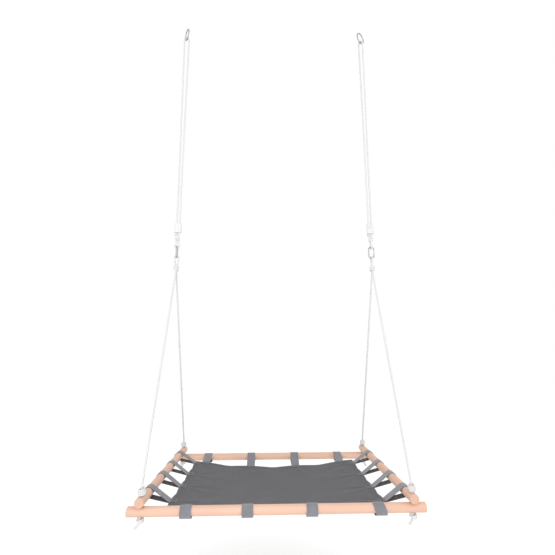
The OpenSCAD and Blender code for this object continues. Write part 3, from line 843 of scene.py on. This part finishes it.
def webbing_finish():
    """Ribs run along the webbing. Each rib is a row of short floats, every second
    rib half a float behind, and yarns vary in shade. The first half of the outline faces the
    rail, and there it is painted almost black, as painted shade inside the loop."""
    material, shade = finish("webbing_grey_blue", sheen_weight=0.3, sheen_roughness=0.5)
    u, v, _ = shade.node("ShaderNodeUVMap", {"uv_map": "surface"}).axes()
    rib = u * (1 / rib_pitch)
    odd = (rib.floor() * 0.5).part()
    on_float = (v * (1 / float_length) + odd).part()
    weave = (rib.part() * math.pi).sin() * ((on_float * math.pi).sin().power(0.5) * 0.45 + 0.55)
    where = shade.on_object()
    yarn = where.noise(900.0, 2.0)
    cloud = where.noise(30.0, 3.0)
    colour = yarn.between(0.3, 0.7).mixed((0.155, 0.156, 0.177), (0.25, 0.252, 0.282))
    colour = (cloud.between(0.4, 0.8) * 0.4).mixed(colour, (0.29, 0.292, 0.312))
    # painted shade: the grooves between ribs and floats are darkened
    colour = (1.0 - weave).power(2.0).mixed(colour, (0.095, 0.097, 0.11))
    # painted shade: the half of the outline that faces the rail is painted almost black
    half_outline = strap_w + strap_t * 0.6
    outer = u.between(half_outline, half_outline + 0.0003)
    colour = outer.mixed((0.014, 0.014, 0.016), colour)
    return dress(material, colour, 0.8 + yarn * 0.1, weave, 0.0004, 0.8)


webbing = webbing_finish()
rail_r = (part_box("rail_front")[1].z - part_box("rail_front")[0].z) / 2
wrap_r = rail_r + rail_gap + strap_t / 2


def band_outline(width, thick):
    """A flat rectangle with its corners rounded by nearly half its thickness."""
    r = thick * 0.45
    run = np.linspace(-1, 1, 13) * (width / 2 - r)
    turn = np.radians([22.5, 45, 67.5])
    corner = np.stack([np.cos(turn), np.sin(turn)], 1) * r
    right = np.vstack([[width / 2, -thick / 2 + r], [width / 2, thick / 2 - r]])
    upper = np.stack([run[::-1], np.full(13, thick / 2)], 1)
    top_right = corner + [width / 2 - r, thick / 2 - r]
    half = np.vstack([right, top_right, upper, (corner * [-1, 1])[::-1]
                      + [-width / 2 + r, thick / 2 - r]])
    whole = np.vstack([half, -half])
    across = np.concatenate([[0], np.cumsum(np.linalg.norm(np.diff(
        np.vstack([whole, whole[:1]]), axis=0), axis=1))])
    return whole, across


def loop_route(reach, drop, ease):
    """The loop in its own plane, from the rail's middle: out of the hem, a straight run that
    just touches the circle round the rail, round its far side, and straight back. A slack
    loop's circle is larger and hangs lower, so that it rests on the rail's top."""
    radius, hub = wrap_r + ease, np.array([0.0, -ease])
    ends = np.array([[reach, drop + strap_t / 2], [reach, drop - strap_t / 2]])
    turns = []
    for point, sign in zip(ends - hub, (1, -1)):
        turns.append(math.atan2(point[1], point[0])
                     + sign * math.acos(radius / np.linalg.norm(point)))
    angle = np.linspace(turns[0], turns[1] + 2 * np.pi, 48)
    arc = hub + radius * np.stack([np.cos(angle), np.sin(angle)], 1)
    inside = np.array([end_inset, 0.0])
    return np.vstack([ends[0] + inside, ends[0], arc, ends[1], ends[1] + inside])


# Two of the loops have crept along their rails and stand askew: how far each one's ends have
# shifted, and how far it leans over the rail
crept = {"strap_front_4": (-0.005, 0.005), "strap_rear_4": (-0.004, 0.003)}
boxes = []
for node, edge, spot, inward in loops:
    rail = middle("rail_" + edge)
    inward = np.array([*inward, 0.0])
    widthways = np.array([-inward[1], inward[0], 0.0])
    crossing = edge in ("front", "rear")
    reach = abs(spot[1] - rail.y) if crossing else abs(spot[0] - rail.x)
    origin = np.array([spot[0], rail.y, rail.z] if crossing else [rail.x, spot[1], rail.z])
    drop = float(canvas_level(np.array(spot[0]), np.array(spot[1]))) - rail.z
    plane = loop_route(reach, drop, crossing_ease if crossing else 0.0)
    path = evenly(origin + plane[:, :1] * inward + plane[:, 1:] * upright, 0.0022)
    gone = (path - origin) @ inward
    shift, turn = crept.get(node, (0.0, 0.0))
    height = np.clip((path[:, 2] - rail.z) / wrap_r, -1, 1)
    round_rail = np.clip(1 - gone / (0.6 * reach), 0, 1)
    path[:, 0] += shift * np.clip(gone / reach, 0, 1) - turn * height * round_rail
    outline, across = band_outline(strap_w, strap_t)
    ahead = unit(np.gradient(path, axis=0))
    side = unit(widthways - (ahead @ widthways)[:, None] * ahead)
    up = np.cross(ahead, side)
    rings = path[:, None] + outline[None, :, :1] * side[:, None] + outline[None, :, 1:] * up[:, None]
    near = np.clip((gone - 0.45 * reach) / (0.5 * reach), 0, 1)[:, None] ** 2
    rings[..., 2] += near * (canvas_level(rings[..., 0], rings[..., 1])
                             - canvas_level(path[:, 0], path[:, 1])[:, None])
    place(skin("webbing_" + node[6:], rings, across, length_along(path)), webbing, "platform",
          "webbing", node)

    # A square of stitches with a cross holds the loop's ends, on both faces of the hem
    w, first, far = strap_w / 2 - 0.0045, 0.0035, 0.0245
    plan = [(-w, first), (w, first), (w, far), (-w, far), (-w, first), (w, far), (w, first),
            (-w, far)]
    for face in (1, -1):
        pair = []
        for flat in seam(plan, 0.0033):
            xy = np.array(spot) + flat[:, :1] * widthways[:2] + flat[:, 1:] * inward[:2]
            xy = xy + (shift * 0.8 if crossing else 0.0) * np.array([1.0, 0.0])
            z = canvas_level(xy[:, 0], xy[:, 1]) + face * (hem_half + sewn_lift)
            pair.append(np.stack([xy[:, 0], xy[:, 1], z], 1))
        ups = np.broadcast_to([0.0, 0.0, float(face)], pair[0].shape)
        boxes.append(stitches("box", pair[0], pair[1], ups, 0.0008))

webbing_thread = thread_finish("thread_grey", (0.40, 0.402, 0.42))
place(bare_joined("webbing_box_stitching", boxes), webbing_thread, "platform", "webbing")


# ---- Floor, light and background ----
# A pale floor well below the swing, white light from all round, and two soft lamps that model
# the rails and the canvas.
world = bpy.data.worlds.new("studio")
bpy.context.scene.world = world
world.use_nodes = True
background = world.node_tree.nodes["Background"]
background.inputs["Color"].default_value = (1.0, 1.0, 1.0, 1.0)
background.inputs["Strength"].default_value = 1.0
bpy.context.scene.view_settings.view_transform = "Standard"

floor_level, floor_half = level(-480), 9
floor_mesh = bpy.data.meshes.new("floor")
floor_mesh.from_pydata([[x * floor_half, y * floor_half, floor_level]
                        for x, y in ((-1, -1), (1, -1), (1, 1), (-1, 1))], [], [[0, 1, 2, 3]])
floor = bpy.data.objects.new("floor", floor_mesh)
bpy.context.scene.collection.objects.link(floor)
floor_material, _ = finish("floor_pale", base_color=(0.95, 0.95, 0.95, 1.0), roughness=0.9,
                           emission_color=(1.0, 1.0, 1.0, 1.0), emission_strength=0.07)
floor_mesh.materials.append(floor_material)

for label, spot, aim, size, power in (
        ("key", (-0.5, -3.0, level(1100)), (0.0, 0.0, level(500)), 1.5, 40.0),
        ("fill", (2.2, -1.8, level(2200)), (0.0, 0.0, level(400)), 1.8, 10.0)):
    lamp = bpy.data.objects.new(label, bpy.data.lights.new(label, "AREA"))
    bpy.context.scene.collection.objects.link(lamp)
    lamp.data.energy, lamp.data.size = power, size
    lamp.location = spot
    direction = np.array(aim) - np.array(spot)
    right = np.cross(direction, upright)
    lamp.rotation_euler = Matrix(np.stack([
        unit(right), unit(np.cross(right, direction)), -unit(direction)], 1).tolist()).to_euler()
